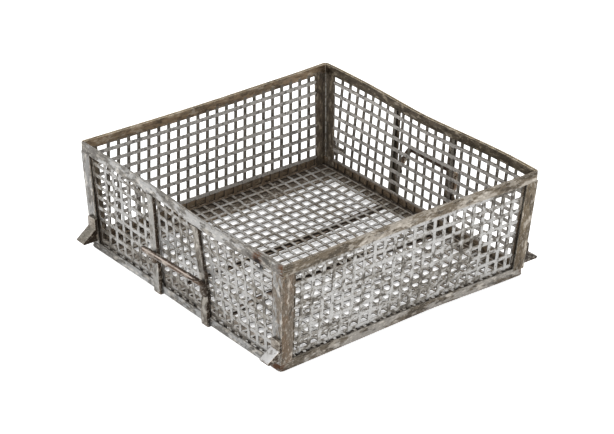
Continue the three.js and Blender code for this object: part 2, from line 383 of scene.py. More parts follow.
def facing_inside(tree, where):
    outward = vector_step(tree, "MULTIPLY", where, (1, 1, 0))
    return facing(tree, vector_step(tree, "NORMALIZE", outward), -0.05, -0.4)


def worn_edge(tree, radius):
    rounded = add_node(tree, "ShaderNodeBevel", {"samples": 4}, Radius=radius).outputs["Normal"]
    return facing(tree, rounded, 0.98, 0.86)


def open_air(tree, reach):
    return add_node(tree, "ShaderNodeAmbientOcclusion", {"samples": 6}, Distance=reach).outputs["AO"]


def near_spots(tree, where, spots):
    near = 0.0
    for centre, radius in spots:
        gap = vector_step(tree, "DISTANCE", where, centre)
        near = largest(tree, near, fade(tree, gap, radius, radius * 0.3))
    return near


print("surface measures ready")

# %% [markdown]
# Every finish starts as a new material that reads the place of a point on its piece, and ends by wiring
# the mixed colour to the shader. Dirt is dull and bare metal is glossy, so one mask of dullness drives the
# metallic, roughness and specular sockets together.

# %% Start and end of a finish
clean_metal = 0.9
dirty_metal = 0.25
dirty_rough = 0.72
clean_shine = 0.5
dirty_shine = 0.15


def new_finish(name):
    finish = bpy.data.materials.new(name)
    finish.use_nodes = True
    tree = finish.node_tree
    where = add_node(tree, "ShaderNodeTexCoord").outputs["Object"]
    return finish, tree, tree.nodes["Principled BSDF"], where


def dress(tree, shader, colour, dull, gloss, normal):
    plug(tree, shader, {
        "Base Color": colour,
        "Metallic": blend_value(tree, dull, clean_metal, dirty_metal),
        "Roughness": blend_value(tree, dull, gloss, dirty_rough),
        "Specular IOR Level": blend_value(tree, dull, clean_shine, dirty_shine),
        "Normal": normal,
    })


print("finishes can be started and ended")

# %% [markdown]
# The recipe goes from the bottom layer to the top: bare metal, tan patches, the brown of the inside, which
# is partly painted shade, a painted highlight on faces that turn up, dark blotches, pale and dark rubs,
# grain, bright edges, grime and painted shade in the crevices, a painted highlight on faces turned one way,
# rust, and the painted shadow of a tear. Each noise is drawn out along its bar.

# %% Worn steel
EVEN = (1, 1, 1)
along_x = (0.42, 1, 1)
along_y = (1, 0.42, 1)
along_z = (1, 1, 0.42)
# scale, detail and roughness of each noise
PATCHES = (13, 3, 0.55)
STREAKS = (75, 5, 0.6)
MOTTLE = (170, 4, 0.62)
RUBS = (130, 4, 0.6)
GRAIN = (430, 3, 0.6)
# how much of what lies below it each layer hides
HIDES = {
    "stain": 0.9, "blotch": 0.5, "inner rub": 0.6, "inner grime": 0.5, "outer rub": 0.36,
    "dark grain": 0.36, "pale grain": 0.3, "edge": 0.5, "crevice": 0.9, "rust": 0.9, "tear": 0.95,
}
# what a dirty spot and the wide patches add to the stains, and how the stains begin
soil_weight = 0.17
patch_weight = 0.45
stain_level = 0.82
stain_gain = 0.2
stain_soft = 0.06
rubbed_edge = 1.6 * MM
painted_highlight_edge = 2.4 * MM
crevice_shade_reach = 9 * MM
relief_depth = 0.8 * MM


def worn_steel(
    name, bare, stain, along=EVEN, stained=0.5, inner=olive, inner_share=0.9,
    front=None, top=None, painted_highlight=None, dirty=(), rust=(), tear_shade=(), gloss=0.36,
):
    finish, tree, shader, where = new_finish(name)
    drawn = stretch(tree, where, along)
    patches = noise(tree, where, *PATCHES)
    streaks = noise(tree, drawn, *STREAKS)
    mottle = noise(tree, stretch(tree, drawn, EVEN, (3, 1, 2)), *MOTTLE)
    rubs = noise(tree, stretch(tree, drawn, EVEN, (7, 5, 4)), *RUBS)
    grain = noise(tree, drawn, *GRAIN)
    soiled = times(tree, near_spots(tree, where, dirty), soil_weight)

    colour = bare
    if front:
        colour = cover(tree, colour, front, facing(tree, (0, -1, 0)))
    stain_start = stain_level - stain_gain * stained
    staining = total(tree, streaks, times(tree, patches, patch_weight), soiled)
    staining = fade(tree, staining, stain_start, stain_start + stain_soft)
    colour = cover(tree, colour, stain, staining, HIDES["stain"])
    # faces that look inward are painted olive brown, partly stain and partly painted shade of the interior
    inside = fade(tree, streaks, 0.5, 0.6, inner_share, inner_share * 0.45)
    inside = times(tree, facing_inside(tree, where), inside)
    colour = cover(tree, colour, inner, inside)
    # painted highlight: faces that turn up are coloured lighter, as lit from above
    if top:
        colour = cover(tree, colour, top, facing(tree, (0, 0, 1)), fade(tree, mottle, 0.36, 0.5))

    outside = combine(tree, "SUBTRACT", 1.0, inside)
    blotches = fade(tree, total(tree, mottle, soiled), 0.54, 0.60)
    blotches = times(tree, blotches, fade(tree, streaks, 0.42, 0.52))
    colour = cover(tree, colour, GRIME_AND_SHADE, blotches, HIDES["blotch"])
    pale = fade(tree, rubs, 0.56, 0.62)
    colour = cover(tree, colour, INNER_RUB, pale, inside, HIDES["inner rub"])
    colour = cover(tree, colour, GRIME_AND_SHADE, fade(tree, rubs, 0.46, 0.4), inside, HIDES["inner grime"])
    colour = cover(tree, colour, RUBBED, pale, outside, HIDES["outer rub"])
    colour = cover(tree, colour, GRIME_AND_SHADE, fade(tree, grain, 0.53, 0.68), HIDES["dark grain"])
    colour = cover(tree, colour, RUBBED, fade(tree, grain, 0.45, 0.32), outside, HIDES["pale grain"])
    edge = times(tree, worn_edge(tree, rubbed_edge), fade(tree, mottle, 0.36, 0.54))
    colour = cover(tree, colour, RUBBED, edge, HIDES["edge"])
    # painted shade: corners that see little open air are darkened, as grime and as the shade in them
    shade = total(tree, open_air(tree, crevice_shade_reach), times(tree, mottle, 0.3))
    dirt_and_shade = times(tree, fade(tree, shade, 0.9, 0.45), HIDES["crevice"])
    colour = cover(tree, colour, GRIME_AND_SHADE, dirt_and_shade)
    dull = largest(tree, dirt_and_shade, times(tree, blotches, 0.7), times(tree, staining, 0.5))

    # painted highlight: a bright band on faces turned one way, softened at the edges
    if painted_highlight:
        direction, bright, start, end = painted_highlight
        patchy = fade(tree, mottle, 0.34, 0.46, 0.35, 0.95)
        off_edge = fade(tree, worn_edge(tree, painted_highlight_edge), 0.1, 0.5, 1.0, 0.3)
        colour = cover(tree, colour, bright, facing(tree, direction, start, end), patchy, off_edge)
    if rust:
        rusted = times(tree, near_spots(tree, where, rust), fade(tree, mottle, 0.36, 0.5))
        colour = cover(tree, colour, RUST, rusted, HIDES["rust"])
        dull = largest(tree, dull, rusted)
    # painted shadow: the tear is painted black where its hole would show shade
    if tear_shade:
        tear_shaded = near_spots(tree, where, tear_shade)
        colour = cover(tree, colour, TEAR_SHADE_BLACK, tear_shaded, HIDES["tear"])
        dull = largest(tree, dull, tear_shaded)
    relief = total(tree, mottle, times(tree, streaks, 0.8))
    dress(tree, shader, colour, dull, gloss, bump(tree, relief, 0.5, relief_depth))
    return finish


print("recipe for worn steel ready")

# %% [markdown]
# ## Bows and dents
#
# Nothing on the real basket is straight any more. The left rim has been pushed out beside the front strap,
# and the front rim and base sag inward in the middle. Bending every bar and sheet by hand would take them
# apart at their joints, so one field of soft dents is worked out for the whole basket instead: each dent
# has a place on a wall and a reach, and moves whatever lies there outward or up. Rim, straps and sheets
# then bend together.

# %% Dents
# direction out of each wall, and the axis that runs along it
WALLS = {
    "right": (Vector((1, 0, 0)), 1),
    "left": (Vector((-1, 0, 0)), 1),
    "back": (Vector((0, 1, 0)), 0),
    "front": (Vector((0, -1, 0)), 0),
}
wall_depth = 45 * MM
# wall, place along it, height, reach along, reach in height, push outward, push upward, in millimetres
dents = [
    ("left", -85, 181, 105, 90, 8.5, 0),
    ("front", 10, 181, 190, 120, -6.0, 0),
    ("front", 0, 3, 200, 60, -4.0, 0.3),
    ("front", 60, 3, 80, 32, 0, 1.7),
    ("left", 60, 3, 120, 30, 0, 1.0),
    ("right", 150, 181, 70, 80, 3.4, 0),
    ("right", -190, 181, 90, 90, 4.4, 0),
    ("right", 0, 181, 60, 80, -2.6, 0),
    ("right", -150, 181, 110, 60, 0, 1.3),
    ("right", 230, 181, 60, 60, 0, 1.8),
    ("back", -50, 181, 180, 90, -3.6, -0.8),
]


def dented(points):
    """Points of the straight basket, moved to where use has left them."""
    moved = points.copy()
    for wall, along, height, reach, reach_z, out, up in dents:
        direction, axis = WALLS[wall]
        facing_out = np.array(direction)
        z = points[:, 2]
        plane = wall_x(z) if axis == 1 else wall_y(z)
        depth = plane - points @ facing_out
        share = np.exp(-((points[:, axis] - along * MM) / (reach * MM)) ** 2)
        share = share * np.exp(-((z - height * MM) / (reach_z * MM)) ** 2)
        share = share * np.exp(-(np.maximum(depth, 0) / wall_depth) ** 2)
        moved += share[:, None] * (facing_out * out + np.array((0, 0, 1)) * up) * MM
    return moved


print(len(dents), "dents")

# %% [markdown]
# ## From a bmesh to a finished piece
#
# Every piece ends the same way: its faces are turned outward, it is bent by the dents, shaded smooth with
# its true corners kept sharp, and hung under the root body, and the solids it stands for are hidden.

# %% Finish a piece
sharp_corner = 35
round_corner = 50


def finished(name, bm, materials, slot, *nodes, corner=sharp_corner):
    bmesh.ops.recalc_face_normals(bm, faces=bm.faces)
    mesh = mesh_from(name, bm, materials)
    points = np.empty(len(mesh.vertices) * 3)
    mesh.vertices.foreach_get("co", points)
    mesh.vertices.foreach_set("co", dented(points.reshape(-1, 3)).ravel())
    mesh.shade_smooth()
    mesh.set_sharp_from_angle(angle=math.radians(corner))
    piece = put_in_scene(name, mesh)
    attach(piece, "root")
    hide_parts(*nodes)
    print(name, len(mesh.polygons), "faces")


print("corners over", sharp_corner, "degrees stay sharp, and over", round_corner, "on rods")

# %% [markdown]
# ## Bars by sweeping a section
#
# A rolled bar has the same section from end to end, so each one is made as a mill makes it: draw the
# section once, round its corners, then carry it along the bar's line. Here the section is a small flat
# face, its corners are bevelled, and extruding it from station to station leaves the bar behind it.
# Extruding keeps the face it starts from, so inside the bar that face is deleted. A station is a matrix: X
# points out of the basket, Y up the section, and Z along the bar.

# %% Section and sweep
UP = Vector((0, 0, 1))


def flat_bar(inner, outer, low, high):
    return [(inner, low), (outer, low), (outer, high), (inner, high)]


def bar_section(bm, corners, ease):
    before = set(bm.faces)
    face = bm.faces.new([bm.verts.new((x, y, 0)) for x, y in corners])
    bmesh.ops.bevel(
        bm, geom=face.verts[:], offset=ease, offset_type="OFFSET", affect="VERTICES",
        segments=2, profile=0.5, material=-1,
    )
    return next(f for f in bm.faces if f not in before)


def station(place, out, up):
    along = out.cross(up)
    return Matrix.Translation(place) @ Matrix((out, up, along)).transposed().to_4x4()


def sweep(bm, face, stations):
    bmesh.ops.transform(bm, matrix=stations[0], verts=face.verts[:])
    for last, following in zip(stations, stations[1:]):
        grown = bmesh.ops.extrude_face_region(bm, geom=[face])["geom"]
        if last is not stations[0]:
            bmesh.ops.delete(bm, geom=[face], context="FACES_ONLY")
        face = next(g for g in grown if isinstance(g, bmesh.types.BMFace))
        bmesh.ops.transform(bm, matrix=following @ last.inverted(), verts=face.verts[:])


print("sweep helpers ready")

# %% [markdown]
# ## The rim
#
# Two flat bars on edge grip the top of each sheet between them, and together they make the rim. Each side
# turns half of both its corners, so that neighbours meet on the mitre, where the weld was ground smooth.
# The line of a bar is a short arc, a long straight and another arc. The straight is cut into many short
# lengths because only a bar with points along it can follow the dents.

# %% Line of a side
# turn of each side about the upright axis, in degrees from the front
SIDES = {"front": 0, "right": 90, "back": 180, "left": 270}
HANDLE_WALLS = ("right", "left")
corner_round = 7 * MM
arc_steps = 5
straight_steps = 48


def side_line(side, reach_x, reach_y, height):
    """Stations of one side of a rounded rectangle, from mitre to mitre, seen from above."""
    half = (reach_y if side in HANDLE_WALLS else reach_x) - corner_round
    depth = (reach_x if side in HANDLE_WALLS else reach_y) - corner_round
    bends = [(-half, -45 + 45 * i / arc_steps) for i in range(arc_steps)]
    bends += [(half * (2 * i / straight_steps - 1), 0) for i in range(straight_steps + 1)]
    bends += [(half, 45 * i / arc_steps) for i in range(1, arc_steps + 1)]
    spin = Matrix.Rotation(math.radians(SIDES[side]), 4, "Z")
    line = []
    for x, degrees in bends:
        angle = math.radians(degrees)
        out = Vector((math.sin(angle), -math.cos(angle), 0))
        line.append(spin @ station(Vector((x, -depth, height)) + out * corner_round, out, UP))
    return line


print("sides of", 2 * arc_steps + straight_steps, "lengths")

# %% [markdown]
# The left rim is the greyest, with dirt at its ends and a rusty tear near the front corner, whose hole is
# painted black as its shadow. The far rims show their brown inner faces and a tan top edge, which is a
# painted highlight.

# %% Rim finishes
tear_x = -rim_x - 2 * MM
tear_y = -196 * MM
torn_rust = [
    ((tear_x, tear_y, rim_top - 8 * MM), 14 * MM),
    ((-rim_x, -rim_y, rim_top - 6 * MM), 16 * MM),
]
# painted shadow of the tear, on the rim and on the sheet below it
tear_shade_spots = [
    ((tear_x, tear_y, rim_bottom + 1 * MM), 12 * MM),
    ((-rim_x + 5 * MM, tear_y, rim_bottom - 4 * MM), 15 * MM),
]
dirty_left = [((-rim_x, rim_y, rim_top), 60 * MM), ((-rim_x, -rim_y, rim_top), 90 * MM)]
dirty_front = [((-190 * MM, -rim_y, rim_top), 160 * MM), ((rim_x, -rim_y, rim_top), 130 * MM)]
rim_finish = {
    "left": worn_steel(
        "rim_left_steel", cool_grey, cool_stain, along_y, 0.55,
        dirty=dirty_left, rust=torn_rust, tear_shade=tear_shade_spots,
    ),
    "front": worn_steel("rim_front_steel", warm_grey, tan_stain, along_x, 0.55, dirty=dirty_front),
    "right": worn_steel(
        "rim_right_steel", warm_grey, tan_stain, along_y, 0.6, screen(84, 75, 62), 0.95, top=lit_top_tan,
    ),
    "back": worn_steel(
        "rim_back_steel", warm_grey, tan_stain, along_x, 0.6, screen(148, 126, 100), 0.85, top=lit_top_tan,
    ),
}
print(len(rim_finish), "rim finishes")

# %% Rim bars
rim_tall = rim_top - rim_bottom
rim_ease = 0.7 * MM
# the two bars leave room for the sheet between them, and the inner one is a little lower
outer_bar = flat_bar(-2.7 * MM, 0, 0, rim_tall)
inner_bar = flat_bar(-5.5 * MM, -3.3 * MM, 0, rim_tall - 0.6 * MM)
for side in SIDES:
    bm = bmesh.new()
    line = side_line(side, rim_x, rim_y, rim_bottom)
    for bar in (outer_bar, inner_bar):
        sweep(bm, bar_section(bm, bar, rim_ease), line)
    finished(f"rim_{side}", bm, [rim_finish[side]], "frame_steel", f"rim_bar_{side}")

# %% [markdown]
# ## The base frame
#
# The base is a bent angle: an upright leg outside and a flat leg that carries the floor. The upright leg
# is swept round its half corners like the rim. The flat legs are plain strips between the upright legs,
# widest at the back. The legs were cut by hand, so their heights and widths differ.

# %% Base finishes
base_inner = screen(140, 121, 99)
base_rust = [
    ((-base_x, -base_y + 10 * MM, base_top * 0.6), 17 * MM),
    ((base_x, -base_y, base_top * 0.5), 12 * MM),
]
dirty_base = [
    ((-base_x, -base_y, base_top), 70 * MM),
    ((-base_x, base_y, base_top), 50 * MM),
    ((20 * MM, -base_y, 0), 30 * MM),
]
base_finish = {
    "left": worn_steel(
        "base_left_steel", screen(131, 131, 130), screen(96, 93, 88), along_y, 0.55, base_inner,
        dirty=dirty_base, rust=base_rust,
    ),
    "front": worn_steel(
        "base_front_steel", screen(129, 125, 119), screen(94, 84, 70), along_x, 0.5, base_inner,
        dirty=dirty_base, rust=base_rust,
    ),
    "right": worn_steel("base_right_steel", warm_grey, tan_stain, along_y, 0.6, base_inner),
    "back": worn_steel("base_back_steel", warm_grey, tan_stain, along_x, 0.6, base_inner),
}
dark_shelf = worn_steel("shelf_steel", screen(96, 86, 75), screen(66, 58, 49), gloss=0.55)
pale_shelf = worn_steel("near_shelf_steel", screen(118, 110, 101), screen(84, 76, 66), gloss=0.55)
print(len(base_finish), "base finishes and two for the flat legs")

# %% Base angles
plate = 3 * MM
base_ease = 0.7 * MM
leg_extra = {"front": 0, "right": 0, "back": 3 * MM, "left": -3.5 * MM}
shelf_wide = {"front": 28 * MM, "right": 21 * MM, "back": 48 * MM, "left": 40 * MM}
shelf_cuts = 24


def turn_to(bm, side):
    spin = Matrix.Rotation(math.radians(SIDES[side]), 3, "Z")
    bmesh.ops.rotate(bm, verts=bm.verts, cent=(0, 0, 0), matrix=spin)


def shelf_strip(bm, side):
    """The flat leg of one side, a thin box scaled out of a cube and cut along its length."""
    wide = shelf_wide[side]
    reach = base_x - plate / 2
    depth = base_y
    forward = 0
    if side in HANDLE_WALLS:
        reach = base_y - (shelf_wide["front"] + shelf_wide["back"]) / 2
        depth = base_x
        forward = (shelf_wide["back"] - shelf_wide["front"]) / 2 * (1 if side == "left" else -1)
    made = bmesh.ops.create_cube(bm, size=1)["verts"]
    bmesh.ops.scale(bm, verts=made, vec=(2 * reach, wide - plate / 2, plate))
    middle_y = -depth + (wide + plate / 2) / 2
    bmesh.ops.translate(bm, verts=made, vec=(forward, middle_y, base_bottom + plate / 2))
    edges = [e for e in bm.edges if abs(e.verts[0].co.x - e.verts[1].co.x) > reach]
    bmesh.ops.subdivide_edges(bm, edges=edges, cuts=shelf_cuts, use_grid_fill=True)
    for face in bm.faces:
        face.material_index = 1
    turn_to(bm, side)


for side in SIDES:
    bm = bmesh.new()
    shelf_strip(bm, side)
    leg = flat_bar(-plate, 0, 0, base_top - base_bottom + leg_extra[side])
    sweep(bm, bar_section(bm, leg, base_ease), side_line(side, base_x, base_y, base_bottom))
    shelf_finish = pale_shelf if side in ("front", "left") else dark_shelf
    finished(f"base_{side}", bm, [base_finish[side], shelf_finish], "frame_steel", f"base_angle_{side}")

# %% [markdown]
# ## The corner posts
#
# Each corner has a short angle that leans out with both walls and is welded between base and rim. It is an
# L swept upward, where every station is moved out along the lean. The left and right pairs are mirror
# images, so the section is mirrored by the signs of the corner instead of mirroring the finished mesh. The
# rounded inner edge catches the light as a pale line, so the faces there get a finish of their own, a
# painted highlight.

# %% Post finishes
post_grey = screen(118, 117, 115)
brown_leg = screen(94, 80, 66)
tan_leg = screen(98, 87, 71)
post_inner = screen(112, 103, 91)
post_finish = {
    "front_left": worn_steel(
        "post_front_left_steel", post_grey, screen(108, 97, 84), along_z, 0.55, post_inner,
        front=brown_leg,
    ),
    "front_right": worn_steel(
        "post_front_right_steel", warm_grey, screen(92, 80, 64), along_z, 0.6, post_inner,
        front=tan_leg,
    ),
    "back_right": worn_steel("post_back_right_steel", warm_grey, tan_stain, along_z, 0.6, post_inner, 0.8),
    "back_left": worn_steel("post_back_left_steel", post_grey, cool_stain, along_z, 0.45, post_inner),
}
# a painted highlight for the rounded inner edge of the posts
inner_edge_highlight, tree, shader, where = new_finish("post_edge_highlight_steel")
mottle = noise(tree, where, 160, 4, 0.6)
plug(tree, shader, {
    "Base Color": cover(tree, screen(176, 174, 168), screen(112, 106, 97), fade(tree, mottle, 0.4, 0.6)),
    "Roughness": fade(tree, mottle, 0.4, 0.6, 0.4, 0.7),
})
print(len(post_finish), "post finishes and one for the inner edge")

# %% Corner posts
# which way each corner lies along X and Y
CORNERS = {"front_left": (-1, -1), "front_right": (1, -1), "back_right": (1, 1), "back_left": (-1, 1)}
post_leg = 21.5 * MM
post_ease = 1.2 * MM
post_steps = 14
post_foot = base_top - 4 * MM
inward = -0.3


def post_section(sign_x, sign_y):
    leg, thick = post_leg, plate
    shape = [(0, 0), (0, -leg), (-thick, -leg), (-thick, -thick), (-leg, -thick), (-leg, 0)]
    return [(sign_x * x, sign_y * y) for x, y in shape]


for name, (sign_x, sign_y) in CORNERS.items():
    bm = bmesh.new()
    section = bar_section(bm, post_section(sign_x, sign_y), post_ease)
    stations = []
    for i in range(post_steps + 1):
        z = post_foot + (rim_bottom - post_foot) * i / post_steps
        stations.append(Matrix.Translation((sign_x * wall_x(z), sign_y * wall_y(z), z)))
    sweep(bm, section, stations)
    bmesh.ops.recalc_face_normals(bm, faces=bm.faces)
    for face in bm.faces:
        face.material_index = int(face.normal.x * sign_x < inward and face.normal.y * sign_y < inward)
    finished(f"post_{name}", bm, [post_finish[name], inner_edge_highlight], "frame_steel", f"corner_post_{name}")

# %% [markdown]
# ## Lines with rounded bends
#
# Straps, lugs and handles are bars bent in a vice, so their lines are straights joined by arcs. One helper
# takes the corner points of a line and the radius of its bends, and gives back close-set points along it.
# Another turns those points into stations.


# %% Bent lines
def bent_line(corners, radius, step=6 * MM, arc=6):
    points = [corners[0]]
    for before, here, after in zip(corners, corners[1:], corners[2:]):
        back = (before - here).normalized()
        ahead = (after - here).normalized()
        half_turn = back.angle(ahead) / 2
        cut = radius / math.tan(half_turn)
        start = here + back * cut
        end = here + ahead * cut
        for i in range(arc + 1):
            t = i / arc
            points.append(start * (1 - t) ** 2 + here * 2 * t * (1 - t) + end * t ** 2)
    points.append(corners[-1])
    close = [points[0]]
    for here, after in zip(points, points[1:]):
        pieces = max(1, round((after - here).length / step))
        close += [here.lerp(after, (i + 1) / pieces) for i in range(pieces)]
    return close


def line_stations(points, side):
    """Stations along a line, with the section's Y axis kept on one side direction."""
    stations = []
    for i, place in enumerate(points):
        before = points[max(i - 1, 0)]
        after = points[min(i + 1, len(points) - 1)]
        along = (after - before).normalized()
        out = side.cross(along).normalized()
        stations.append(station(place, out, along.cross(out)))
    return stations


print("bent lines ready")

# %% [markdown]
# ## The carrying straps
#
# Two flat straps go down one handle wall, under the floor and up the other wall, so a full load hangs in
# them and the basket stands on them. Over the base frame each strap steps outward. Neither strap is
# straight: both lean on the walls and bow under the floor. The outer faces are rubbed grey, the narrow
# sides are painted dark as grime and as the shade beside them, and the part under the floor is brown, so a
# strap has three finishes. On the left wall the dark sides also stand for the shade in the gap between
# strap and sheet, so there the section is swept thicker.

# %% Strap finishes
strap_inner = screen(92, 78, 60)
strap_finish = {
    "strap_back": worn_steel(
        "strap_back_steel", screen(130, 128, 124), cool_stain, along_z, 0.45, strap_inner,
    ),
    "strap_front": worn_steel(
        "strap_front_steel", screen(132, 127, 119), screen(88, 80, 70), along_z, 0.5, strap_inner,
    ),
}
# the narrow sides are painted dark as grime and shade; the welds of the handles share this dark
shade_and_weld_dark = worn_steel(
    "strap_shade_and_weld_steel", screen(74, 62, 51), screen(52, 43, 35), EVEN, 0.5, screen(70, 58, 46), gloss=0.6,
)
strap_under = worn_steel("strap_under_steel", screen(112, 97, 85), screen(84, 71, 61), along_x, gloss=0.6)
print(len(strap_finish) + 2, "strap finishes")

# %% Straps
strap_thick = 3 * MM
strap_ease = 0.6 * MM
strap_bend = 4 * MM
strap_proud = 1.5 * MM
strap_step = 4.5 * MM
step_start = base_bottom + 45 * MM
step_end = base_bottom + 31 * MM
gap_shade_from = 8 * MM
# the thicker section on the left wall stands for the shade in the gap behind the strap
gap_shade_thickening = Matrix.Diagonal((2.2, 1, 1, 1))
# sideways drift at the rim, the bend and the foot of the left and the right wall, then places under the
# floor along X and Y, in millimetres
STRAPS = {
    "strap_back": ((-1, -4, -8.5), (4, 4, 3), [(-60, 57), (60, 58.5), (160, 64)]),
    "strap_front": ((3.4, -4, -2.7), (-4, 2, 4), [(-150, -54), (-50, -43), (60, -43), (160, -52)]),
}


def strap_side(sign, y, drift):
    at_rim, at_bend, at_foot = (y + d * MM for d in drift)
    return [
        Vector((sign * (wall_x(rim_bottom) + strap_proud), at_rim, rim_bottom)),
        Vector((sign * (wall_x(step_start) + strap_proud), at_bend, step_start)),
        Vector((sign * (wall_x(step_end) + strap_step), at_foot, step_end)),
        Vector((sign * (base_x + strap_step), at_foot, 0)),
    ]


for name, (left_drift, right_drift, under) in STRAPS.items():
    low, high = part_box(name)
    wide = high.y - low.y
    y = (low.y + high.y) / 2
    under_floor = [Vector((x * MM, place * MM, 0)) for x, place in under]
    corners = strap_side(-1, y, left_drift) + under_floor + strap_side(1, y, right_drift)[::-1]
    bm = bmesh.new()
    section = bar_section(bm, flat_bar(-strap_thick, 0, -wide / 2, wide / 2), strap_ease)
    stations = line_stations(bent_line(corners, strap_bend), Vector((0, 1, 0)))
    on_left = [s.translation.z > gap_shade_from and s.translation.x < 0 for s in stations]
    sweep(bm, section, [s @ gap_shade_thickening if left else s for s, left in zip(stations, on_left)])
    bm.normal_update()
    # 0 for the broad faces, 1 for the narrow sides, painted dark as grime and shade, 2 under the floor
    for face in bm.faces:
        on_floor = face.calc_center_median().z < strap_thick * 1.2
        face.material_index = 2 if on_floor else 1 if abs(face.normal.y) > 0.6 else 0
    materials = [strap_finish[name], shade_and_weld_dark, strap_under]
    finished(name.replace("strap", "carrying_strap"), bm, materials, "frame_steel", name)

# %% [markdown]
# ## The handles
#
# A handle is a round rod bent twice and welded to the faces of two straps. Its section is a circle, made
# by an operator and swept along the bent line, and the ends are cut off flat inside the straps. A dark
# lump of weld sits on each foot. The right handle was bent up further than the left one, and its front leg
# slants. The front end of the left handle has been pressed down towards the wall.


# %% Cuts and lumps
def everything(bm):
    return bm.verts[:] + bm.edges[:] + bm.faces[:]


def slice_off(bm, place, direction):
    """Cut away what lies on one side of a plane, and close the cut."""
    whole = everything(bm)
    cut = bmesh.ops.bisect_plane(bm, geom=whole, plane_co=place, plane_no=direction, clear_outer=True)
    bmesh.ops.holes_fill(bm, edges=[g for g in cut["geom_cut"] if isinstance(g, bmesh.types.BMEdge)])


def second_finish(bm, before):
    for face in set(bm.faces) - before:
        face.material_index = 1


def weld_lump(bm, place, size):
    before = set(bm.faces)
    made = bmesh.ops.create_icosphere(bm, subdivisions=2, radius=1)["verts"]
    bmesh.ops.scale(bm, verts=made, vec=size)
    bmesh.ops.translate(bm, verts=made, vec=place)
    second_finish(bm, before)


print("cuts and lumps ready")

# %% Handle finishes
# a painted highlight along the top of the left rod, on faces turned up and to the left
painted_rod_highlight = ((-0.766, 0, 0.642), screen(196, 182, 172), 0.95, 0.99)
rod_finish = {
    "left": worn_steel(
        "handle_left_steel", screen(86, 72, 61), screen(62, 49, 40), along_y, 0.5, screen(66, 52, 41),
        painted_highlight=painted_rod_highlight, gloss=0.28,
    ),
    "right": worn_steel(
        "handle_right_steel", screen(104, 86, 70), screen(66, 52, 42), along_y, 0.6, screen(74, 58, 45),
        gloss=0.4,
    ),
}
print(len(rod_finish), "rod finishes")

# %% Handles
rod = 9.5 * MM
rod_bend = 9 * MM
foot_height = base_bottom + 58 * MM
into_strap = -0.4
weld_size = (4.5 * MM, 9 * MM, 10 * MM)
# lift of the rod's end on the strap, then how far the grip stands out from that end, along the wall and
# above it, in millimetres
GRIPS = {
    "right": {"back": (0, 25, 0, 31), "front": (0, 25, 14, 31)},
    "left": {"back": (0, 25, -4, 26), "front": (9, 13, -2, 12)},
}
for side in HANDLE_WALLS:
    sign = 1 if side == "right" else -1
    name = f"handle_{side}"
    low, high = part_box(name)
    wall = wall_x(foot_height) + strap_proud
    feet = {"back": high.y - rod / 2, "front": low.y + rod / 2}
    ends = {}
    for end, (lift, out, along, rise) in GRIPS[side].items():
        rooted = Vector((wall, feet[end], foot_height + lift * MM))
        grip = rooted + Vector((out, along, rise)) * MM
        ends[end] = [rooted.lerp(grip, into_strap), grip]
    corners = [Vector((sign * p.x, p.y, p.z)) for p in ends["back"] + ends["front"][::-1]]
    bm = bmesh.new()
    bmesh.ops.create_circle(bm, cap_ends=True, segments=16, radius=rod / 2)
    points = bent_line(corners, rod_bend, step=8 * MM, arc=8)
    # a direction that no length of the rod runs along
    across = Vector((0.3 * sign, 0.05, -1)).normalized()
    sweep(bm, bm.faces[:][0], line_stations(points, across))
    slice_off(bm, (sign * (wall - strap_thick / 2), 0, 0), (-sign, 0, 0))
    for y in feet.values():
        weld_lump(bm, (sign * (wall + 1 * MM), y, foot_height - 1 * MM), weld_size)
    materials = [rod_finish[side], shade_and_weld_dark]
    finished(f"carrying_{name}", bm, materials, "handle_steel", name, corner=round_corner)

# %% [markdown]
# ## The stacking lugs
#
# At the foot of each post a short plate is kicked outward, with a web closing the space under it. Baskets
# stacked on each other rest against these. The slope of the front lug gets a painted highlight, the back
# left lug a lighter painted top, the two far lugs are a darker copy that stands partly for shade, and the
# undersides and webs are painted dark as grime and shade. The plate is a flat bar swept down a bent line,
# and the corners of its top end are cut round by slicing them off with planes. Each lug was bent and set
# by hand, so their drops and places differ.

# %% Lug finishes
lug_grey = screen(116, 108, 98)
lug_shade = screen(84, 74, 63)
# a painted highlight on the slope of the front lug
painted_slope_highlight = ((-0.525, 0, 0.851), screen(206, 205, 204), 0.93, 0.985)
# the far lugs are a darker copy of the lug finish, partly painted shade
shaded_far_lug = worn_steel(
    "far_lug_shaded_steel", screen(86, 72, 57), screen(62, 50, 39), EVEN, 0.5, screen(64, 52, 40), gloss=0.55,
)
lug_finish = {
    "front_left": worn_steel(
        "lug_front_steel", lug_grey, lug_shade, EVEN, 0.45, painted_highlight=painted_slope_highlight, gloss=0.3,
    ),
    "front_right": shaded_far_lug,
    "back_right": shaded_far_lug,
    "back_left": worn_steel(
        # the top colour of this lug is a painted highlight on its upward faces
        "lug_left_steel", lug_grey, lug_shade, EVEN, 0.45, top=screen(130, 125, 115), gloss=0.34,
    ),
}
# the web is painted dark as grime and shade
shaded_web_finish = worn_steel(
    "lug_web_shaded_steel", screen(64, 53, 43), screen(48, 40, 32), EVEN, 0.5, screen(56, 46, 36), gloss=0.6,
)
print(len(lug_finish), "lugs share 3 finishes, and their webs have one")

# %% Lugs
lug_thick = 5 * MM
lug_wide = 20 * MM
lug_ease = 0.8 * MM
lug_bend = 5 * MM
top_round = 5 * MM
web_wide = 17 * MM
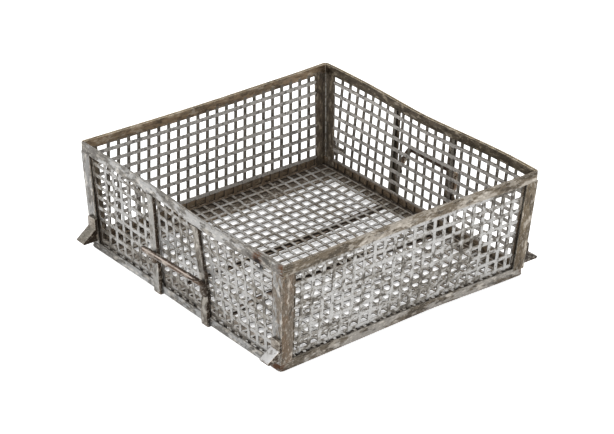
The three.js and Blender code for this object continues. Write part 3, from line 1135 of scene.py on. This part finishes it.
# heights of the top and the knee above the base, reach and drop of the kicked end, and shift along the
# wall, in millimetres
LUGS = {
    "front_left": (56, 37, 23.5, 14.5, -3),
    "front_right": (54, 34, 22.5, 14, 0),
    "back_right": (54, 35, 22.5, 14.5, 0),
    "back_left": (57.5, 37, 25, 19.5, -4.5),
}
half = lug_wide / 2
for name, (sign_x, sign_y) in CORNERS.items():
    top, knee, reach, drop, shift = (v * MM for v in LUGS[name])
    top += base_bottom
    knee += base_bottom
    y = sign_y * (wall_y(knee) - half) + shift
    bends = [(wall_x(top), top), (wall_x(knee), knee), (wall_x(knee) + reach, knee - drop)]
    corners = [Vector((sign_x * x, y, z)) for x, z in bends]
    bm = bmesh.new()
    section = bar_section(bm, flat_bar(0, lug_thick, -half, half), lug_ease)
    sweep(bm, section, line_stations(bent_line(corners, lug_bend, step=3 * MM), Vector((0, -sign_x, 0))))
    for side in (-1, 1):
        for lean in (0.5, 1, 2):
            edge_y = y + side * (half - top_round / (1 + lean))
            slice_off(bm, (0, edge_y, top), Vector((0, side * lean, 1)).normalized())
    bm.normal_update()
    # undersides and narrow sides are painted as dark as the web, as grime and shade
    for face in bm.faces:
        face.material_index = 1 if face.normal.z < -0.3 or abs(face.normal.y) > 0.8 else 0
    before = set(bm.faces)
    heel = Vector((corners[1].x, y, corners[2].z))
    web = [p - Vector((0, web_wide / 2, 0)) for p in (corners[1], corners[2], heel)]
    web = bm.faces.new([bm.verts.new(p) for p in web])
    sweep(bm, web, [Matrix.Identity(4), Matrix.Translation((0, web_wide, 0))])
    second_finish(bm, before)
    finished(f"lug_{name}", bm, [lug_finish[name], shaded_web_finish], "frame_steel", f"stacking_lug_{name}")

# %% [markdown]
# ## The punched sheets
#
# Walls and floor are thin sheet with square holes punched in rows. A grid of cells is laid out flat, a
# hole is made in each cell by insetting its face and taking the inner face away, and the sheet is given
# its thickness. Bevelling the lips of the holes lets them catch the light. The cut sides of the holes get
# a finish of their own, dark as grime and shade with a painted highlight where they face up, and so do the
# plain strips at the ends of a wall, painted dark, partly as the shade beside the posts.

# %% Punched sheet
lip = 0.35 * MM


def punched_sheet(bm, columns, rows, bar, thick, cut=None, solid_ends=False):
    bmesh.ops.create_grid(bm, x_segments=len(columns) - 1, y_segments=len(rows) - 1, size=1)
    for corner in bm.verts:
        i = round((corner.co.x + 1) / 2 * (len(columns) - 1))
        j = round((corner.co.y + 1) / 2 * (len(rows) - 1))
        corner.co = (columns[i], rows[j], 0)
    cells = bm.faces[:]
    if solid_ends:
        cells = [f for f in cells if columns[1] < f.calc_center_median().x < columns[-2]]
    bmesh.ops.inset_individual(bm, faces=cells, thickness=bar / 2, use_even_offset=True)
    bmesh.ops.delete(bm, geom=cells, context="FACES_ONLY")
    if cut is not None:
        low_edge = {"plane_co": (0, cut, 0), "plane_no": (0, -1, 0)}
        bmesh.ops.bisect_plane(bm, geom=everything(bm), clear_outer=True, **low_edge)
    bmesh.ops.solidify(bm, geom=bm.faces[:], thickness=thick)
    bm.normal_update()
    lips = [e for e in bm.edges if abs(e.verts[0].co.z - e.verts[1].co.z) < lip]
    lips = [e for e in lips if e.calc_face_angle(0) > 1]
    bmesh.ops.bevel(bm, geom=lips, offset=lip, affect="EDGES", segments=1, profile=0.5, material=-1)
    bm.normal_update()
    # 0 for the faces of the bars, 1 for the sides of the holes, 2 for the plain strips at the ends
    for face in bm.faces:
        place = face.calc_center_median().x
        at_end = solid_ends and not columns[1] + bar * 0.45 < place < columns[-2] - bar * 0.45
        face.material_index = 2 if at_end else 1 if abs(face.normal.z) < 0.4 else 0
    print("cells", len(cells), "faces", len(bm.faces))


print("sheets with lips of", lip)

# %% [markdown]
# ## The finish of the sheets
#
# Outside, the bars between the holes are rubbed light grey. Inside, the level bars are painted lighter, as
# lit from above, and the upright ones darker, as painted shade. The height of a point tells whether
# it lies on a level bar: a triangle wave with the spacing of the rows is zero at the middle of each bar.
# At the bottom, behind the base angle, the inside is all brown, and the outside is painted darker as grime
# and the shade behind the leg. The lips of the holes are painted dark as grime and shade.

# %% Sheet steel
wall_bar = 6.3 * MM
sheet_gloss = 0.4
sheet_lip = 1.3 * MM
sheet_crevice_shade = 8 * MM
low_brown = screen(134, 117, 98)
SHEET_PATCHES = (16, 4, 0.6)
SHEET_MOTTLE = (120, 4, 0.62)
SPECKS = (420, 3, 0.6)


def sheet_steel(name, bare, stain, lit_level_inner, shaded_upright_inner, first_row, row_step, low_dirt_and_shade=0.8, tear_shade=()):
    finish, tree, shader, where = new_finish(name)
    patches = noise(tree, where, *SHEET_PATCHES)
    mottle = noise(tree, where, *SHEET_MOTTLE)
    specks = noise(tree, where, *SPECKS)
    height = add_node(tree, "ShaderNodeSeparateXYZ", Vector=where).outputs["Z"]
    from_row = combine(tree, "PINGPONG", combine(tree, "SUBTRACT", height, first_row), row_step / 2)
    level = fade(tree, from_row, wall_bar * 0.56, wall_bar * 0.44)
    low_down = fade(tree, height, base_top + 5 * MM, base_top)

    staining = total(tree, times(tree, patches, 0.6), times(tree, mottle, 0.6))
    staining = fade(tree, staining, 0.55, 0.66)
    colour = cover(tree, bare, stain, staining)
    # darker towards the bottom outside, behind the base leg, as grime and painted shade
    colour = cover(tree, colour, GRIME_AND_SHADE, low_down, fade(tree, mottle, 0.58, 0.44), low_dirt_and_shade)
    # painted shadow of the tear on the left sheet
    if tear_shade:
        colour = cover(tree, colour, TEAR_SHADE_BLACK, near_spots(tree, where, tear_shade))
    # painted light and shade: level bars inside are lighter, as lit from above, and uprights darker
    inner = cover(tree, shaded_upright_inner, lit_level_inner, level, fade(tree, mottle, 0.34, 0.5, 0.55, 1.0))
    inner = cover(tree, inner, low_brown, low_down)
    colour = cover(tree, colour, inner, facing_inside(tree, where), 0.95)

    blotches = fade(tree, total(tree, mottle, times(tree, patches, 0.4)), 0.73, 0.82)
    spots = fade(tree, specks, 0.56, 0.68)
    # dark hole lips and crevices are painted as grime and shade
    lips = times(tree, worn_edge(tree, sheet_lip), fade(tree, mottle, 0.36, 0.54, 0.15, 0.6))
    crevice_shade = total(tree, open_air(tree, sheet_crevice_shade), times(tree, mottle, 0.3))
    crevice_shade = fade(tree, crevice_shade, 0.92, 0.5)
    dirt_and_shade = times(tree, largest(tree, blotches, spots, lips), 0.6)
    dirt_and_shade = largest(tree, dirt_and_shade, times(tree, crevice_shade, 0.85))
    colour = cover(tree, colour, GRIME_AND_SHADE, dirt_and_shade)
    dull = largest(tree, dirt_and_shade, times(tree, staining, 0.4))
    relief = total(tree, mottle, specks)
    dress(tree, shader, colour, dull, sheet_gloss, bump(tree, relief, 0.4, 0.6 * MM))
    return finish


print("recipe for sheet steel ready")


# %% Sides of the holes
def hole_side_steel(name, dark, light):
    finish, tree, shader, where = new_finish(name)
    mottle = noise(tree, where, 300, 3, 0.6)
    # painted highlight: the sides that face up are lighter, as lit from above; the dark elsewhere is grime
    # and shade
    lit_upward = times(tree, facing(tree, (0, 0, 1)), fade(tree, mottle, 0.36, 0.55))
    plug(tree, shader, {
        "Base Color": cover(tree, dark, light, lit_upward),
        "Metallic": blend_value(tree, lit_upward, 0.1, 0.7),
        "Roughness": 0.65,
        "Specular IOR Level": 0.2,
        "Normal": bump(tree, mottle, 0.3, 0.5 * MM),
    })
    return finish


hole_light = screen(158, 149, 136)
hole_finish = hole_side_steel("hole_side_steel", screen(60, 53, 45), hole_light)
floor_hole_finish = hole_side_steel("floor_hole_steel", screen(92, 84, 75), hole_light)
print("finishes for the holes of the walls and the floor ready")

# %% [markdown]
# ## The wall panels
#
# The panels were cut and set in by hand, so the holes start at a different place on every wall, some rows
# lean, and the bars of the handle walls have crept along them. The bottom row was cut through the holes,
# which leaves a row of prongs standing in the base angle. No sheet is quite flat, and a few random waves
# give each one its bulge.

# %% Places of the holes
# first bar and spacing along the wall, first bar and spacing upward, in millimetres, and lean of uprights
HOLES = {
    "front": (8.8, 18.9, 6.0, 19.3, 0),
    "right": (13.0, 18.92, 3.0, 19.0, -0.018),
    "back": (9.0, 18.75, 8.0, 18.45, 0.063),
    "left": (1.7, 19.1, 3.0, 18.8, 0),
}
# how far the bars have crept along the wall, place by place, in millimetres
CREEP = {
    "front": ((0,), (0,)),
    "right": ((-240, -100, -20, 20, 110, 170), (-9, -5, -2, -1, 3, 3)),
    "back": ((0,), (0,)),
    "left": ((-240, -190, -130, -10, 20, 120, 190, 240), (-11, -10, -7, -10.5, -11, -6, -1.5, 0.5)),
}
bulge_size = 0.8 * MM
draw = np.random.default_rng(7)


def grid_lines(first, step, low, high, bar):
    """Places of the bars between low and high, closed off by the edges of the sheet."""
    start = first + math.ceil((low + bar - first) / step) * step
    inner = []
    while start < high - bar:
        inner.append(start)
        start += step
    return [low] + inner + [high]


def crept_lines(first, step, creep, end, bar):
    """Places of crept bars, in metres, that leave room for the strip at each end."""
    places = [first + k * step for k in range(-20, 21)]
    places = [(p + np.interp(p, *creep)) * MM for p in places]
    return [p for p in places if abs(p) < end - 1.6 * bar]


def buckled(size):
    """A smooth random bulge of a sheet, as a function of two places on it."""
    waves = []
    for k in (1, 2, 3):
        waves.append((draw.normal() * size / k, draw.uniform(0, math.tau), draw.uniform(0, math.tau), k))
    return lambda s, t: sum(a * math.sin(6 * k * s + p) * math.sin(9 * k * t + q) for a, p, q, k in waves)


print("holes placed on", len(HOLES), "walls")

# %% [markdown]
# Each panel is made lying flat, with X along the wall and Y up it, and then stood up in the plane of the
# front wall, leaning with it, before it is turned to its own side. At the bottom it stands behind the leg
# of the base angle, and at the top it runs up between the two bars of the rim.

# %% Wall panels
wall_thick = 1.5 * MM
sheet_cut = base_bottom + plate + 3 * MM
sheet_end = rim_top - 3 * MM
inset_low = 4.8 * MM
inset_high = 3.0 * MM
lean_middle = 95 * MM
end_strip = 12 * MM
outer_grey = {"front": screen(167, 166, 164), "left": screen(156, 155, 153)}
outer_stain = screen(130, 125, 117)
# lighter level bars and darker uprights inside, painted light and shade
lit_and_shaded_inside_greys = (screen(196, 192, 187), screen(120, 114, 105))
# the plain strips at the wall ends are painted dark, partly as the shade beside the posts
end_strip_shade_finish = worn_steel(
    "panel_end_shade_steel", screen(84, 73, 60), screen(60, 51, 42), along_z, 0.5, screen(122, 111, 97),
    gloss=0.55,
)
for side in SIDES:
    sign = 1 if side in ("front", "right") else -1
    face_y, face_x = (wall_x, wall_y) if side in HANDLE_WALLS else (wall_y, wall_x)
    first, step, low, rise, lean = HOLES[side]
    end = face_x(lean_middle) - post_leg - 3 * MM
    end_lean = (face_x(rim_top) - face_x(base_bottom)) / (rim_top - base_bottom)
    reach = end + end_strip
    lines = sorted(sign * p for p in crept_lines(first, step, CREEP[side], end, wall_bar))
    columns = [-reach, -end] + lines + [end, reach]
    rows = grid_lines(low * MM, rise * MM, -rise * MM, sheet_end, wall_bar)
    bm = bmesh.new()
    punched_sheet(bm, columns, rows, wall_bar, wall_thick, sheet_cut, solid_ends=True)
    bulge = buckled(bulge_size)
    for corner in bm.verts:
        s, z, depth = corner.co
        up = climb(z)
        quiet = max(0.0, math.sin(math.pi * min(max(up, 0), 1)))
        inset = inset_low + (inset_high - inset_low) * up + abs(depth) + bulge(s, z) * quiet
        leaning = math.copysign(end_lean, s) if abs(s) > end - wall_bar * 0.7 else sign * lean
        corner.co = (s + leaning * (z - lean_middle), inset - face_y(z), z)
    turn_to(bm, side)
    grey = outer_grey.get(side, outer_grey["front"])
    tear = tear_shade_spots if side == "left" else ()
    rows_at = (low * MM, rise * MM)
    finish = sheet_steel(f"panel_{side}_steel", grey, outer_stain, *lit_and_shaded_inside_greys, *rows_at, tear_shade=tear)
    nodes = (f"mesh_{side}_uprights", f"mesh_{side}_levels")
    finished(f"panel_{side}", bm, [finish, hole_finish, end_strip_shade_finish], "mesh_steel", *nodes)

# %% [markdown]
# ## The floor panel
#
# The floor is the same sheet, a little thicker, laid on the flat legs of the base angles. Between them and
# the straps it has sagged under the weight of its loads, so its height is given along the basket's depth.
# It stops short of the walls, so a dark gap runs round it. Its crosswise bars lie a little askew.

# %% Floor panel
floor_thick = 2 * MM
floor_bar = 5.0 * MM
floor_edge = base_bottom + plate + 0.3 * MM + floor_thick
flat_to = base_x - shelf_wide["right"]
flat_from = flat_to - 30 * MM
reach_x = 224 * MM
reach_y = 235 * MM
# height of the floor's top along the depth of the basket, in millimetres
SAG_AT = (-235, -210, -160, -100, -45, 0, 27, 46, 65, 84, 100, 160, 180, 198, 217, 235)
SAG_HEIGHT = (8.6, 8.6, 5.4, 5.0, 7.4, 6.4, 6.7, 7.6, 7.0, 5.5, 5.0, 4.9, 5.6, 7.3, 9.0, 9.4)
FLOOR_CREEP = ((30, 100, 160, 217), (-8.8, -6, -4, -1.5))
row_tilt = 0.016
tilt_middle = 100 * MM
floor_grey = screen(181, 180, 178)
floor_stain = screen(142, 136, 127)
floor_finish = sheet_steel(
    "floor_steel", floor_grey, floor_stain, floor_grey, floor_grey, 0.0, 1.0, low_dirt_and_shade=0.0,
)
columns = grid_lines(14.7 * MM, 19.0 * MM, -reach_x, reach_x, floor_bar)
rows = [-reach_y] + crept_lines(8.3, 19.02, FLOOR_CREEP, reach_y, floor_bar) + [reach_y]
bm = bmesh.new()
punched_sheet(bm, columns, rows, floor_bar, floor_thick)
for corner in bm.verts:
    x, y, depth = corner.co
    sagging = np.interp(y / MM, SAG_AT, SAG_HEIGHT) * MM
    at_side = np.interp(abs(x), (flat_from, flat_to), (0, 1))
    if abs(y) < reach_y - floor_bar:
        corner.co.y += row_tilt * (x - tilt_middle)
    corner.co.z = sagging + (floor_edge - sagging) * at_side - abs(depth)
nodes = ("mesh_floor_lengthwise", "mesh_floor_crosswise")
finished("panel_floor", bm, [floor_finish, floor_hole_finish], "mesh_steel", *nodes)

# %% [markdown]
# ## The size of the dressed basket
#
# The dressed basket has to fill the same box as the solids, and here the box round its shown pieces is
# measured.

# %% Size and finish
low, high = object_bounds()
